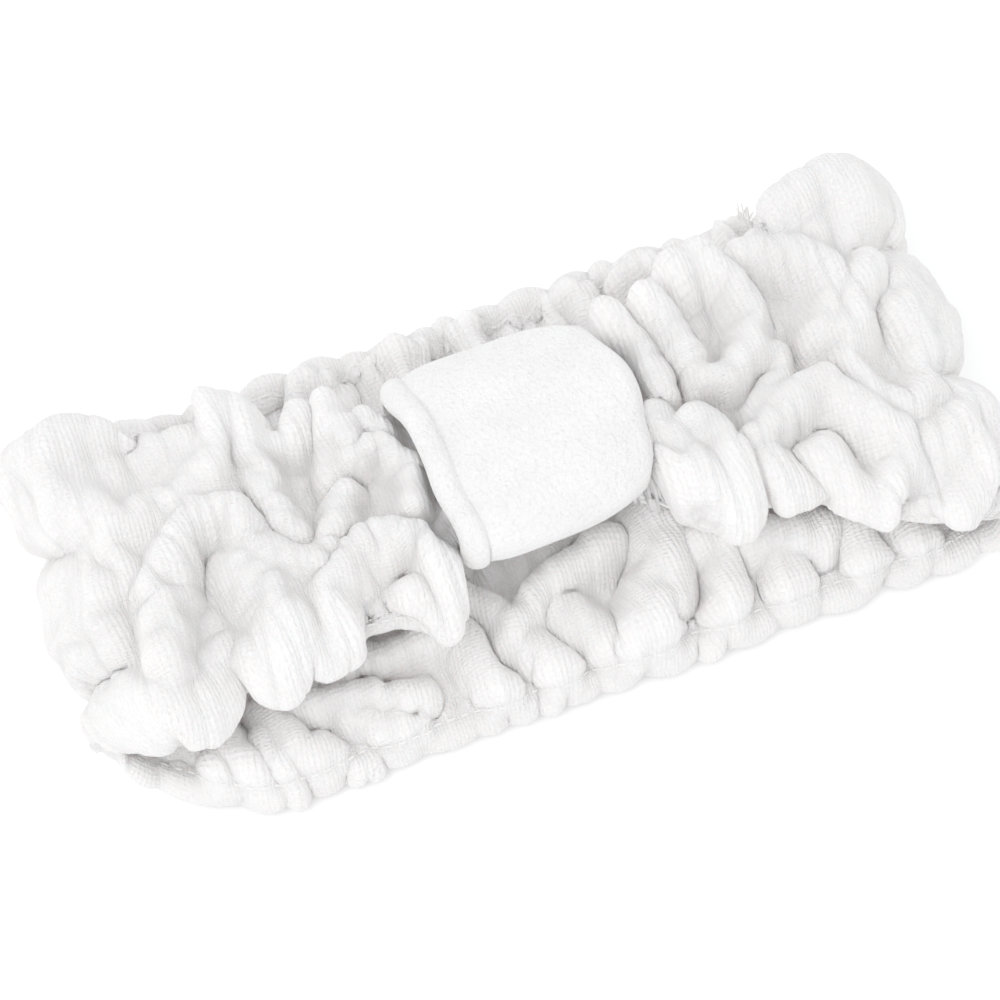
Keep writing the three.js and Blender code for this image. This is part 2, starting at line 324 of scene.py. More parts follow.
@dataclass(frozen=True)
class Loop:
    """The smooth loop that the gathered cloth follows, all in mm.

    It is a flat stadium in the XZ plane: the back section at back_height, a half ellipse at each end,
    and the front section at front_height. Its run starts at the band's join seam, on the back.
    """

    half_straight: float = 85.0
    back_height: float = 7.0
    front_height: float = 33.0
    end_reach: float = 17.5
    seam_x: float = 72.0
    keeper_x: float = 2.0
    back_half_width: float = 49.5
    front_half_width: float = 45.0
    neck_half_width: float = 20.0
    shoulder_half_width: float = 27.0
    shoulder: tuple[float, float] = (20.0, 34.0)
    flare: tuple[float, float] = (38.0, 95.0)
    lower_left_flare: tuple[float, float] = (70.0, 98.0)
    lower_right_flare: tuple[float, float] = (50.0, 82.0)
    lower_inset: float = 4.5
    corner_inset: float = 17.0
    corner: tuple[float, float] = (68.0, 106.0)
    turning: tuple[float, float] = (80.0, 165.0)

    def track(self, steps: int = 4000) -> tuple[Array, Array, Array]:
        """The closed track's arc length, points (x, z) and outward normals, densely sampled."""
        middle = (self.back_height + self.front_height) / 2
        rise = (self.front_height - self.back_height) / 2
        angle = np.linspace(-math.pi / 2, math.pi / 2, steps // 8)
        right = np.stack(
            [self.half_straight + self.end_reach * np.cos(angle), middle + rise * np.sin(angle)], 1
        )
        left = np.stack([-right[::-1, 0], right[::-1, 1]], 1)
        start = np.array([[self.seam_x, self.back_height]])
        corners = np.concatenate([start, right, left, start])
        arc = np.concatenate([[0.0], np.cumsum(np.hypot(*np.diff(corners, axis=0).T))])
        place = np.linspace(0.0, arc[-1], steps + 1)
        x = np.interp(place, arc, corners[:, 0])
        z = np.interp(place, arc, corners[:, 1])
        ahead = unit(np.stack([np.gradient(x), np.gradient(z)], 1))
        return place, np.stack([x, z], 1), np.stack([ahead[:, 1], -ahead[:, 0]], 1)

    @property
    def length(self) -> float:
        """The track's length."""
        return float(self.track()[0][-1])

    def at(self, share: Array) -> tuple[Array, Array]:
        """Points (x, z) and outward normals of the track at shares from 0 to 1 of its length."""
        place, points, normals = self.track()
        here = np.mod(share, 1.0) * place[-1]
        point = np.stack([np.interp(here, place, points[:, k]) for k in (0, 1)], -1)
        normal = np.stack([np.interp(here, place, normals[:, k]) for k in (0, 1)], -1)
        return point, unit(normal)

    def opening(self, share: Array) -> Array:
        """How far a place on the loop follows the front body: 0 on the back, 1 on the front.

        smoothstep of the distance along the loop from the back section's middle, over `turning`.
        """
        total = self.length
        away = np.abs(np.mod(share + self.seam_x / total + 0.5, 1.0) - 0.5) * total
        return smoothstep(away, *self.turning)

    def frontness(self, height: Array) -> Array:
        """0 at the back section's height, 1 at the front section's, with a smooth change between."""
        return smoothstep(height, self.back_height, self.front_height)

    def half_width(self, x: Array, height: Array, side: Array) -> Array:
        """Half the band's width at one side of it: straight along the back, a bow-tie in front.

        The lower edge is drawn in a little all along, and much more round the left end's corner.

        Args:
            x: place along the band, in mm.
            height: the loop's height there, in mm.
            side: 1 towards the upper edge, -1 towards the lower one.

        Returns:
            The half width, in mm.
        """
        out = np.abs(x - self.keeper_x)
        shoulder = self.shoulder_half_width - self.neck_half_width
        front = self.neck_half_width + shoulder * smoothstep(out, *self.shoulder)
        lower = np.where(
            x < self.keeper_x,
            smoothstep(out, *self.lower_left_flare),
            smoothstep(out, *self.lower_right_flare),
        )
        flare = np.where(side < 0, lower, smoothstep(out, *self.flare))
        front += (self.front_half_width - self.shoulder_half_width) * flare
        back = self.back_half_width - self.lower_inset * (side < 0)
        wide = back + self.frontness(height) * (front - back)
        return wide - self.corner_inset * smoothstep(-x, *self.corner) * (side < 0)


# ---- folds ----------------------------------------------------------------------------------------


@dataclass(frozen=True)
class Fold:
    """A rounded ridge of cloth: its crest line in plan, its height and half its width, all in mm."""

    crest: tuple[tuple[float, float], ...]
    height: float
    half_width: float = 7.0


LEFT_FRONT_FOLDS = (
    Fold(((-101, 29), (-94, 20), (-83, 14), (-71, 13), (-65, 16)), 13, 10),
    Fold(((-98, 37), (-92, 43), (-85, 44)), 10, 9),
    Fold(((-56, 38), (-58, 27), (-63, 18)), 15, 5),
    Fold(((-51, 34), (-53, 20), (-53, 9), (-51, -1)), 14, 5),
    Fold(((-38, 31), (-43, 21), (-48, 21)), 12, 5),
    Fold(((-83, -3), (-76, 5), (-69, 9), (-62, 7), (-59, -1), (-54, -7), (-50, -9)), 17, 5.5),
    Fold(((-50, -9), (-45, -6), (-41, -1), (-38, 4)), 14, 5),
    Fold(((-63, -5), (-59, -11), (-59, -19), (-64, -26)), 15, 8.5),
    Fold(((-77, 2), (-83, -9), (-86, -19)), 16, 6.5),
    Fold(((-85, 1), (-94, 2), (-101, -2), (-105, -9)), 10, 6),
    Fold(((-104, -15), (-96, -19), (-90, -27), (-77, -31)), 13, 7),
    Fold(((-89, 12), (-87, 6), (-83, 1)), 11, 3.5),
    Fold(((-48, -15), (-40, -10), (-31, -10)), 15, 6.5),
    Fold(((-54, -26), (-49, -24), (-48, -15)), 13, 6),
    Fold(((-33, -9), (-27, -12), (-24, -18), (-26, -25), (-32, -22)), 16, 4.5),
    Fold(((-33, 18), (-33, 11), (-27, 11), (-23, 4), (-25, -4)), 15, 4.5),
    Fold(((-33, 29), (-36, 18), (-38, 9)), 12, 4),
    Fold(((-28, 20), (-24, 13)), 12, 4),
)

RIGHT_FRONT_FOLDS = (
    Fold(((32, 22), (35, 12), (35, 2)), 15, 5),
    Fold(((41, 22), (43, 12), (45, 3), (51, 1), (57, 5), (60, 12), (60, 21), (56, 27), (49, 26)), 16, 5),
    Fold(((32, -3), (33, -12), (35, -18)), 15, 7.5),
    Fold(((35, -18), (41, -24), (43, -16), (39, -8)), 16, 6.5),
    Fold(((57, 3), (63, 4), (61, -3), (53, -8)), 12, 4),
    Fold(((67, 27), (75, 24), (81, 17), (82, 12), (76, 4)), 13, 7),
    Fold(((90, 16), (84, 8), (78, 1)), 14, 5),
    Fold(((81, 40), (90, 44), (97, 36), (102, 28), (103, 14)), 10, 8),
    Fold(((83, 3), (77, -5), (78, -15), (84, -20), (91, -16), (95, -7), (94, 2)), 14, 5),
    Fold(((60, -10), (68, -9), (73, -16), (78, -25)), 16, 6.5),
    Fold(((51, -15), (58, -11)), 14, 5.5),
    Fold(((52, -22), (56, -31), (50, -37)), 13, 6),
    Fold(((63, -23), (65, -32), (70, -36), (78, -31)), 13, 5.5),
    Fold(((86, -28), (96, -29), (97, -40), (89, -46)), 11, 8),
)

BACK_FOLDS = (
    Fold(((-53, -21), (-40, -24), (-26, -25)), 11, 4.5),
    Fold(((-60, -29), (-48, -31), (-36, -36)), 11, 4),
    Fold(((-50, -35), (-39, -42)), 8, 4.5),
    Fold(((-22, -16), (-16, -22), (-10, -30), (-5, -41)), 12, 5),
    Fold(((-12, -31), (-3, -23), (15, -17)), 13, 5),
    Fold(((28, -15), (24, -28), (14, -42)), 14, 7.5),
    Fold(((1, -29), (7, -38)), 10, 6.5),
    Fold(((36, -25), (48, -28), (59, -31)), 13, 7),
    Fold(((38, -30), (34, -42)), 11, 5),
    Fold(((51, -33), (50, -43)), 10, 6),
    Fold(((67, -30), (68, -43)), 10, 5),
    Fold(((-23, -26), (-19, -41)), 10, 5),
    Fold(((-70, -34), (-66, -44)), 9, 5),
    Fold(((-82, -36), (-80, -45)), 9, 5),
    Fold(((80, -34), (82, -44)), 8, 5),
    Fold(((-68, -27), (-61, -46)), 10, 4.5),
    Fold(((-78, -31), (-73, -47)), 10, 4.5),
    Fold(((-60, -39), (-54, -47)), 9, 4),
)


# ---- the gathered band ----------------------------------------------------------------------------


class Edge(Enum):
    """The band's two gathered edges, with the sign of their side."""

    LOWER = -1
    UPPER = 1


@dataclass
class Surface:
    """The settled cloth's middle surface: a fine grid that can be read at any place on the cloth."""

    points: Array
    normals: Array

    def at(self, u: Array, v: Array) -> tuple[Array, Array]:
        """Points and unit normals at shares u (0 to 1, comes round) and v (-1 to 1).

        Between grid points they are mixed in proportion along both directions.
        """
        columns, rows = self.points.shape[:2]
        u, v = np.broadcast_arrays(np.mod(u, 1.0) * columns, (np.asarray(v) + 1) / 2 * (rows - 1))
        i = np.floor(u).astype(int)
        j = np.clip(np.floor(v).astype(int), 0, rows - 2)
        s, t = (u - i)[..., None], (v - j)[..., None]
        i, ahead = i % columns, (i + 1) % columns
        found = []
        for grid in (self.points, self.normals):
            near = grid[i, j] * (1 - t) + grid[i, j + 1] * t
            far = grid[ahead, j] * (1 - t) + grid[ahead, j + 1] * t
            found.append(near * (1 - s) + far * s)
        return found[0], unit(found[1])


CLOTH_SETTINGS = {
    "shrink_max": 0.0,
    "pin_stiffness": 1.0,
    "quality": 5,
    "mass": 0.25,
    "air_damping": 3.0,
    "tension_stiffness": 22.0,
    "compression_stiffness": 22.0,
    "shear_stiffness": 9.0,
    "bending_stiffness": 26.0,
    "tension_damping": 12.0,
    "compression_damping": 12.0,
    "shear_damping": 8.0,
    "bending_damping": 1.0,
}


@dataclass
class GatheredBand:
    """The terry loop: a double ply gathered on the elastics, bunched in folds and cinched in front.

    Sizes are in mm. The cloth is a closed grid: its first parameter runs round the loop from the join
    seam and its second from the lower edge to the upper edge.
    """

    loop: Loop = field(default_factory=Loop)
    cut_length: float = 640.0
    cut_width: float = 116.0
    columns: int = 360
    rows: int = 54
    ply_half: float = 1.1
    casing_share: float = 0.14
    pleat_pitch: float = 7.0
    pleat_height: float = 2.4
    curl_radius: tuple[float, float] = (6.0, 9.0)
    curl_begin: float = 0.78
    curl_sooner: float = 0.18
    curl_depth: tuple[float, float] = (6.0, 0.7)
    back_turn: float = -84.0
    added_turn: float = 262.0
    flat_reach: float = 20.0
    front_lift: float = 24.5
    back_lift: float = 3.0
    fold_spread: float = 1.12
    edge_gather: tuple[float, float] = (0.6, -1.25)
    elastic_swell: float = 1.3
    pinch_wide: float = 0.22
    pinch_share: float = 0.45
    creases: tuple = ((0.5, (6.0, 20.0)), (0.42, (13.0, 10.0)))
    fine_columns: int = 580
    fine_rows: int = 82
    seed: int = 7
    surface: Surface = field(init=False, repr=False)

    def shares(self) -> tuple[Array, Array]:
        """The grid's two parameters: 0 to 1 round the loop and -1 to 1 across it."""
        u = np.arange(self.columns) / self.columns
        v = np.linspace(-1.0, 1.0, self.rows)
        return np.meshgrid(u, v, indexing="ij")

    def ridges(self, x: Array, y: Array, folds: tuple[Fold, ...]) -> list[Array]:
        """Each fold's ridge at distance d from its crest line.

        It is height * (1 - (d / wide)^2.5), wide being fold_spread times the fold's half width.
        """
        found = []
        for fold in folds:
            away = distance_to_line(x, y, fold.crest) / (fold.half_width * self.fold_spread)
            found.append(fold.height * (1 - np.clip(away, 0, 1.6) ** 2.5))
        return found

    def pleats(self, arc: Array, inward: Array, side: float, rng: np.random.Generator) -> Array:
        """The small pleats along one edge, as ridges that run in from the elastic and die away.

        A pleat at arc c has the height tall * (1 - ((arc - c - lean * d) / spread)^2), less
        5 * (d / reach - 0.5)^2 from half its reach on, d being the distance from the edge. Pitch,
        height, lean and reach vary from pleat to pleat, and the soft maximum of all of them is taken.

        Args:
            arc: place along the loop, in mm.
            inward: distance from the edge, in mm.
            side: the turn given to the lean, 1 or -1.
            rng: the source of the variation.

        Returns:
            The pleats' height, in mm, about 0 between them.
        """
        total = self.loop.length
        ridges = [np.full(arc.shape, -self.pleat_height)]
        place = 0.0
        while place < total - 0.5 * self.pleat_pitch:
            wide = self.pleat_pitch * rng.uniform(0.3, 1.0)
            tall = self.pleat_height * rng.uniform(0.4, 1.15)
            reach = rng.uniform(14.0, 34.0)
            lean = side * rng.uniform(-0.25, 0.4)
            place += wide
            off = np.mod(arc - place - lean * inward + total / 2, total) - total / 2
            spread = wide * 1.08
            ridge = tall * (1 - np.clip(off / spread, -3, 3) ** 2)
            ridges.append(ridge - 5.0 * np.clip(inward / reach - 0.5, 0, 3) ** 2)
            place += wide
        return soft_max(np.stack(ridges), 0.3)

    def wrinkles(self, rng: np.random.Generator, waves: int, kinds: int) -> Array:
        """A smooth random field over the cloth from about -1 to 1, with the given waves round it."""
        runs = np.stack([smooth_noise(rng, self.columns, waves) for _ in range(kinds)], 1)
        return resample(runs, self.rows, 1, False)

    def curl(self, v: Array, front: Array, half: Array) -> tuple[Array, Array, Array]:
        """The band's cross section before it is folded.

        Across the band the cloth is level up to the curl, then turns down to the table by the signed
        angle phi, which is negative on the back: along the band's plane radius * sin(|phi|), and along
        the loop's outward normal -sign(phi) * depth * (1 - cos(phi)).

        Args:
            v: place across the cloth, -1 to 1.
            front: 0 on the back section to 1 on the front section.
            half: half the band's width there, in mm.

        Returns:
            The place across the band, the offset along the loop's normal, and phi.
        """
        back_curl, front_curl = self.curl_radius
        radius = back_curl + (front_curl - back_curl) * front
        begin = self.curl_begin - self.curl_sooner * smoothstep(front, 0.5, 1.0)
        turned = np.radians(self.back_turn + self.added_turn * front)
        share = np.clip((np.abs(v) - begin) / (1 - begin), 0, 1)
        phi = share * turned
        straight = 1 - smoothstep(np.abs(turned), 0.1, 1.0)
        reach = radius * np.sin(np.minimum(np.abs(turned), math.pi / 2))
        reach = reach + (1 - begin) * self.flat_reach * straight
        level_share = np.clip(np.abs(v), 0, begin) / begin
        flat_run = (1 - begin) * self.flat_reach * share * straight
        y = np.sign(v) * (level_share * (half - reach) + radius * np.sin(np.abs(phi)) + flat_run)
        back_depth, shallower = self.curl_depth
        sunk = -np.sign(phi) * (back_depth - shallower * front) * (1 - np.cos(phi))
        return y, sunk, phi

    def folded(
        self, place: tuple[Array, Array, Array], normal: Array, arc: Array, wander: Array, broad: Array
    ) -> Array:
        """How far the cloth's folds stand out: the large ones, waves elsewhere, lobes at the ends.

        Args:
            place: the sheet's x, y and z before it is folded, in mm.
            normal: the loop's outward normal.
            arc: place along the loop, in mm.
            wander: the field that moves the waves about.
            broad: the field that raises and lowers the valleys.

        Returns:
            The height along the sheet's normal, in mm.
        """
        x, y, z = place
        long_wave = 2 * math.pi * arc / 21.0 + 2.2 * wander
        middle = 4.5 * np.sin(long_wave) + 1.8 * np.sin(2.1 * long_wave + 3 * wander)
        up = normal[..., 1] > 0
        level = smoothstep(np.abs(normal[..., 1]), 0.3, 0.95)
        valley = 5.5 + 2.0 * broad
        folds = LEFT_FRONT_FOLDS + RIGHT_FRONT_FOLDS
        top = soft_max(np.stack([valley, *self.ridges(x, y, folds)]), 1.5) + self.front_lift - z
        low = soft_max(np.stack([valley - 2.5, *self.ridges(x, y, BACK_FOLDS)]), 1.3) + self.back_lift
        near = smoothstep(-y, 4, 12)
        out = middle + up * level * (top - middle)
        out = out + (~up) * level * near * (z - low - middle)
        ends = np.abs(x) - self.loop.half_straight
        lobe = np.abs(np.sin((y + 5 * broad + np.where(x > 0, 13, 14)) * math.pi / 31.0))
        return out + smoothstep(ends, 1, 13) * (6.0 * lobe**0.7 - 2.5 - out)

    def gathered(self) -> Array:
        """The cloth bunched up, before it settles: the folds laid over the smooth loop.

        The folds stand out along the curled sheet's own normal. Inside the keeper they give way to
        tight tucks, and along both edges to the pleats.
        """
        rng = np.random.default_rng(self.seed)
        u, v = self.shares()
        place, normal = self.loop.at(u)
        x, z = place[..., 0], place[..., 1]
        side = np.sign(v)
        half = self.loop.half_width(x, z, side)
        y, sunk, phi = self.curl(v, self.loop.frontness(z), half)
        arc = u * self.loop.length
        wander = self.wrinkles(rng, 30, 5)
        broad = self.wrinkles(rng, 14, 4)
        fine = self.wrinkles(rng, 75, 16)
        out = self.folded((x, y, z), normal, arc, wander, broad)
        out = out + 1.6 * broad + 0.5 * fine
        inside = np.abs(x - self.loop.keeper_x)
        neck = (1 - smoothstep(inside, 15.0, 22.0)) * (normal[..., 1] > 0.9)
        lens = np.sqrt(np.clip(1 - (y / 21.5) ** 2, 0.0, 1))
        y = y + Keeper().offset * neck
        tucked = 6.0 * np.sin(2 * math.pi * y / 9.5 + 0.8 * wander) * lens
        out = out + neck * (tucked - out)
        sunk = sunk * (1 - 0.75 * neck)
        inward = (1 - np.abs(v)) * self.cut_width / 2
        gather = np.where(
            v < 0, self.pleats(arc, inward, 1.0, rng), self.pleats(arc, inward, -1.0, rng)
        )
        edge = smoothstep(np.abs(v), 0.78, 0.96)
        edge = edge * (1 - 0.8 * neck)
        out = out + edge * (gather * np.where(normal[..., 1] > 0, *self.edge_gather) - out)
        along, across = np.cos(phi), side * np.sin(phi)
        points = np.stack(
            [
                x + normal[..., 0] * (sunk + along * out),
                y + across * out,
                z + normal[..., 1] * (sunk + along * out),
            ],
            -1,
        )
        points[..., 2] = np.maximum(points[..., 2], self.ply_half + 0.2)
        return points

    def held(self) -> Array:
        """How firmly each place is held: 1 on the elastics and inside the keeper, 0.42 elsewhere."""
        u, v = self.shares()
        place, normal = self.loop.at(u)
        inside = np.abs(place[..., 0] - self.loop.keeper_x)
        neck = (1 - smoothstep(inside, 16.0, 24.0)) * (normal[..., 1] > 0.9)
        edge = smoothstep(np.abs(v), 1 - 1.4 * self.casing_share, 1 - 0.8 * self.casing_share)
        loose = 0.42
        return loose + (1 - loose) * np.maximum(neck, edge)

    def weigh(self, obj: bpy.types.Object, name: str, weights: Array) -> bpy.types.VertexGroup:
        """A vertex group of the object that holds the weights, rounded to twentieths."""
        group = obj.vertex_groups.new(name=name)
        steps = 20
        rounded = np.round(weights.ravel() * steps).astype(int)
        for step in range(steps + 1):
            group.add(np.flatnonzero(rounded == step).tolist(), step / steps, "REPLACE")
        return group

    def settle(self, start: Array) -> Array:
        """Lets the cloth buckle and settle under Blender's Cloth while its springs grow.

        Every place is held by its share of `held`, so the result stays near the start. The springs of
        the looser places grow by up to `growth`.

        Args:
            start: the gathered grid, in mm.

        Returns:
            The settled grid, in mm.
        """
        scale = 10.0
        frames, grown, growth = 30, 20, 0.13
        scene = bpy.context.scene
        faces = grid_faces(self.columns, self.rows, True, False)
        obj = new_mesh("settling_cloth", start * scale, faces)
        grip = self.weigh(obj, "held", self.held())
        calm = self.weigh(obj, "calm", smoothstep(self.held(), 0.5, 0.9))
        drape = obj.modifiers.new("drape", "CLOTH")
        cloth = drape.settings
        cloth.vertex_group_mass = grip.name
        cloth.vertex_group_shrink = calm.name
        for name, value in CLOTH_SETTINGS.items():
            setattr(cloth, name, value)
        cloth.effector_weights.gravity = 0.25
        touch = drape.collision_settings
        touch.use_collision = True
        touch.distance_min = 0.008
        touch.collision_quality = 2
        touch.use_self_collision = False
        for frame_number, shrink in ((1, -0.01), (grown, -growth), (frames, -growth)):
            cloth.shrink_min = shrink
            cloth.keyframe_insert("shrink_min", frame=frame_number)
        floor = level_square("settling_floor", 3000)
        floor.modifiers.new("hard", "COLLISION")
        drape.point_cache.frame_start, drape.point_cache.frame_end = 1, frames
        for frame_number in range(1, frames + 1):
            scene.frame_set(frame_number)
        graph = bpy.context.evaluated_depsgraph_get()
        settled = obj.evaluated_get(graph).to_mesh()
        places = np.zeros(len(settled.vertices) * 3, np.float32)
        settled.vertices.foreach_get("co", places)
        obj.evaluated_get(graph).to_mesh_clear()
        for helper in (obj, floor):
            bpy.data.objects.remove(helper)
        scene.frame_set(1)
        return places.reshape(start.shape).astype(float) / (scale * MM)

    def softened(self, sheet: Array, rounds: int = 2, share: float = 0.45) -> Array:
        """The sheet with its sharpest turns eased, away from the casings.

        In each round a point moves by the share towards its four neighbours' mean.
        """
        v = np.linspace(-1, 1, self.rows)[None, :, None]
        share = share * (1 - smoothstep(np.abs(v), 0.66, 0.84))
        for _ in range(rounds):
            beside = np.roll(sheet, 1, 0) + np.roll(sheet, -1, 0)
            beside = beside + np.roll(sheet, 1, 1) + np.roll(sheet, -1, 1)
            sheet = sheet + share * (beside / 4 - sheet)
        return sheet

    def section(self) -> tuple[Array, Array]:
        """The closed section's places across the cloth and its signed half thickness there."""
        v = np.sin(np.linspace(-1, 1, self.fine_rows) * math.pi / 2 * 0.86)
        v = v / v[-1]
        return v, self.half_thickness(v)

    def half_thickness(self, v: Array) -> Array:
        """Half the cloth's thickness at places across it, in mm.

        It is ply_half in the middle, pinches in at the stitch row and swells to an ellipse round each
        elastic, which closes at the edge.
        """
        depth = (1 - np.abs(v)) / self.casing_share
        swell = np.sqrt(np.clip(1 - (2 * np.clip(depth, 0, 1) - 1) ** 2, 0, 1))
        pinch = np.exp(-(((depth - 1) / self.pinch_wide) ** 2))
        flat = smoothstep(depth, 0.7, 1.3) * (1 - self.pinch_share * pinch)
        return self.ply_half * flat + self.elastic_swell * swell * (1 - smoothstep(depth, 0.8, 1.05))

    def creased(self, sheet: Array, v: Array) -> Array:
        """Adds the terry's small creases along the sheet's normals.

        For each height and pair of periods in `creases` the field gains height * (1 - min(|f|, 1.6)),
        f being a banded noise of those periods, so its zero lines stand up as soft ridges. It dies
        away on the casings.
        """
        rng = np.random.default_rng(self.seed + 1)
        shape = sheet.shape[:2]
        size = (self.cut_length, self.cut_width)
        field_mm = 0.0
        for height, periods in self.creases:
            ridge = 1.0 - np.minimum(np.abs(banded_noise(rng, shape, size, periods)), 1.6)
            field_mm = field_mm + height * ridge
        field_mm = field_mm * (1 - smoothstep(np.abs(v), 0.8, 0.95))
        return sheet + grid_normals(sheet) * field_mm[..., None]

    def inside_keeper(self, sheet: Array) -> Array:
        """Draws in what would stand through the keeper, towards the middle of its section.

        Where r = (|y/a|^n + |(z - c)/b|^n)^(1/n) passes 1, y and z - c are divided by r.
        """
        keeper = Keeper()
        x, y, z = (sheet[..., k] for k in range(3))
        left, right = keeper.sides(y)
        under = smoothstep(x, left - 3, left + 1) * (1 - smoothstep(x, right - 1, right + 3))
        spare = keeper.ply_half + self.ply_half + 0.3
        narrow = keeper.narrowing(np.clip(x, left, right))
        wide = keeper.half_width * narrow - spare
        tall = keeper.half_height * (0.5 + 0.5 * narrow) - spare
        aside = y - keeper.offset
        power = keeper.power
        r = (np.abs(aside / wide) ** power + np.abs((z - keeper.height) / tall) ** power) ** (1 / power)
        high = z > keeper.height - keeper.half_height - 3.0
        pull = 1 + (np.maximum(r, 1) - 1) * under * high
        drawn_z = keeper.height + (z - keeper.height) / pull
        return np.stack([x, keeper.offset + aside / pull, drawn_z], -1)

    def build(self) -> bpy.types.Object:
        """Bunches, settles, refines and thickens the cloth, and makes its piece."""
        points = self.gathered()
        points = self.softened(self.settle(points))
        v, half = self.section()
        dense = 4 * self.fine_rows
        fine = resample(resample(points, self.fine_columns, 0, True), dense, 1, False)
        fine = self.inside_keeper(self.creased(fine, np.linspace(-1, 1, dense)[None, :]))
        self.surface = Surface(fine, grid_normals(fine))
        u = np.arange(self.fine_columns) / self.fine_columns
        sheet, normals = self.surface.at(u[:, None], v[None, :])
        outer = sheet + normals * half[None, :, None]
        inner = sheet - normals * half[None, :, None]
        skin = np.concatenate([outer, inner[:, -2:0:-1]], axis=1)
        skin[..., 2] = np.maximum(skin[..., 2], 0.15)
        count = skin.shape[1]
        faces = grid_faces(self.fine_columns, count, True, True)
        across = np.concatenate([v, v[-2:0:-1]])
        i, j = np.divmod(np.arange(self.fine_columns * count), count)
        corner_i, corner_j = i[:, None] + np.array([0, 1, 1, 0]), j[:, None] + np.array([0, 0, 1, 1])
        uv = np.stack(
            [
                corner_i * self.cut_length / self.fine_columns * MM,
                across[corner_j % count] * self.cut_width / 2 * MM,
            ],
            -1,
        )
        obj = new_mesh("band_cloth", skin, faces, uv)
        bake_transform(obj)
        self.follow(np.repeat(u, count))
        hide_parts("back_section", "front_section", "left_end_fold", "right_end_fold")
        return obj

    def follow(self, u: Array) -> None:
        """Works out how far each point of a piece follows the front, from its place on the loop; the result
        is not used.
        """
        weights = self.loop.opening(u).astype(np.float32)

    def elastic(self, edge: Edge) -> bpy.types.Object:
        """The flat elastic inside one edge's casing: a closed tape along the middle of the casing."""
        width, half = 4.5, 0.4
        columns, rows = 420, 6
        u = np.arange(columns)[:, None] / columns
        middle = edge.value * (1 - self.casing_share / 2)
        v = middle + np.linspace(-1, 1, rows)[None, :] * width / self.cut_width
        points, normals = self.surface.at(u, v)
        rounded = half * np.sqrt(np.clip(1 - np.linspace(-1, 1, rows) ** 4, 0.1, 1))
        obj = slab(f"{edge.name.lower()}_elastic_tape", points, normals, rounded[None, :], True)
        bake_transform(obj)
        self.follow(np.repeat(u[:, 0], 2 * rows))
        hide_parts(f"{edge.name.lower()}_elastic")
        return obj

    def bartack(self, edge: Edge) -> bpy.types.Object:
        """The zigzag that joins the lapped ends of one elastic, at the middle of the back section."""
        turns, lap = 8, 8.0
        share = np.linspace(0, 1, turns * 6 + 1)
        start = (self.loop.length - self.loop.seam_x) / self.loop.length
        u = start + (share - 0.5) * lap / self.loop.length
        middle = edge.value * (1 - self.casing_share / 2)
        aside = sway(share, turns) * 1.8 / self.cut_width
        points, normals = self.surface.at(u, middle + aside)
        path = (points + normals * 0.6)[None]
        obj = threads(f"{edge.name.lower()}_elastic_zigzag", path, normals[None], 0.2)
        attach(obj, "back")
        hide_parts(f"{edge.name.lower()}_elastic_bartack")
        return obj

    def run_of_stitches(self, v: float, face: int) -> tuple[Array, Array, Array]:
        """Straight stitches along a row at place v: paths, the surface's normals, and shares u.

        A stitch is 2.4 mm long with 0.8 mm to the next one, and rises from the cloth as
        0.34 * sin(pi t)^0.5 - 0.14 mm above the face.
        """
        samples = 6000
        u = np.arange(samples + 1) / samples
        points, normals = self.surface.at(u, v)
        points = points + face * normals * self.half_thickness(np.array(v))
        arc = np.concatenate([[0], np.cumsum(np.linalg.norm(np.diff(points, axis=0), axis=1))])
        stitch, gap, places = 2.4, 0.8, 7
        count = int(arc[-1] // (stitch + gap))
        t = np.linspace(0, 1, places)
        here = np.arange(count)[:, None] * arc[-1] / count + t[None, :] * stitch
        read = [np.interp(here, arc, points[:, k]) for k in range(3)]
        path = np.stack(read, -1)
        up = face * unit(np.stack([np.interp(here, arc, normals[:, k]) for k in range(3)], -1))
        rise = 0.34 * np.sqrt(np.sin(np.pi * t)) - 0.14
        return path + up * rise[None, :, None], up, np.interp(here, arc, u)

    def casing_stitches(self, edge: Edge) -> bpy.types.Object:
        """The stitch row that closes one edge's casing, seen on both faces of the cloth."""
        rows = [self.run_of_stitches(edge.value * (1 - self.casing_share), face) for face in (1, -1)]
        path, up, u = (np.concatenate([row[k] for row in rows]) for k in range(3))
        obj = threads(f"{edge.name.lower()}_casing_stitches", path, up, 0.27, 5)
        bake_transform(obj)
        self.follow(np.repeat(u.ravel(), 5))
        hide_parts(f"{edge.name.lower()}_casing_stitch")
        return obj

    def join_seam(self) -> bpy.types.Object:
        """The band's cross seam: its allowance pressed over, on the inner face at the loop's start."""
        half_wide, rows, columns = 4.5, 110, 9
        v = np.linspace(-0.84, 0.84, rows)[:, None]
        side = np.linspace(-1, 1, columns)[None, :]
        points, normals = self.surface.at(side * half_wide / self.cut_length, v)
        rim = np.sqrt(np.clip(1 - side**6, 0.05, 1)) * np.sqrt(np.clip(1 - (v / 0.84) ** 40, 0.05, 1))
        middle = points - normals * (self.ply_half + 0.55)
        middle[..., 2] = np.maximum(middle[..., 2], 0.8)
        cut = (0.84 * self.cut_width, 2 * half_wide)
        obj = slab("band_join_allowance", middle, -normals, 0.6 * rim, False, cut)
        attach(obj, "back")
        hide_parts("band_join_seam")
        return obj

    def join_stitches(self) -> bpy.types.Object:
        """The overlock that binds the seam's allowance: a thread that sways from side to side."""
        turns = 38
        share = np.linspace(0, 1, turns * 8 + 1)
        aside = sway(share, turns) * 3.9 / self.cut_length
        points, normals = self.surface.at(aside, (share - 0.5) * 1.66)
        path = points - normals * (self.ply_half + 1.3)
        path[..., 2] = np.maximum(path[..., 2], 0.4)
        obj = threads("band_join_overlock", path[None], -normals[None], 0.24)
        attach(obj, "back")
        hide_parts("band_join_stitch")
        return obj

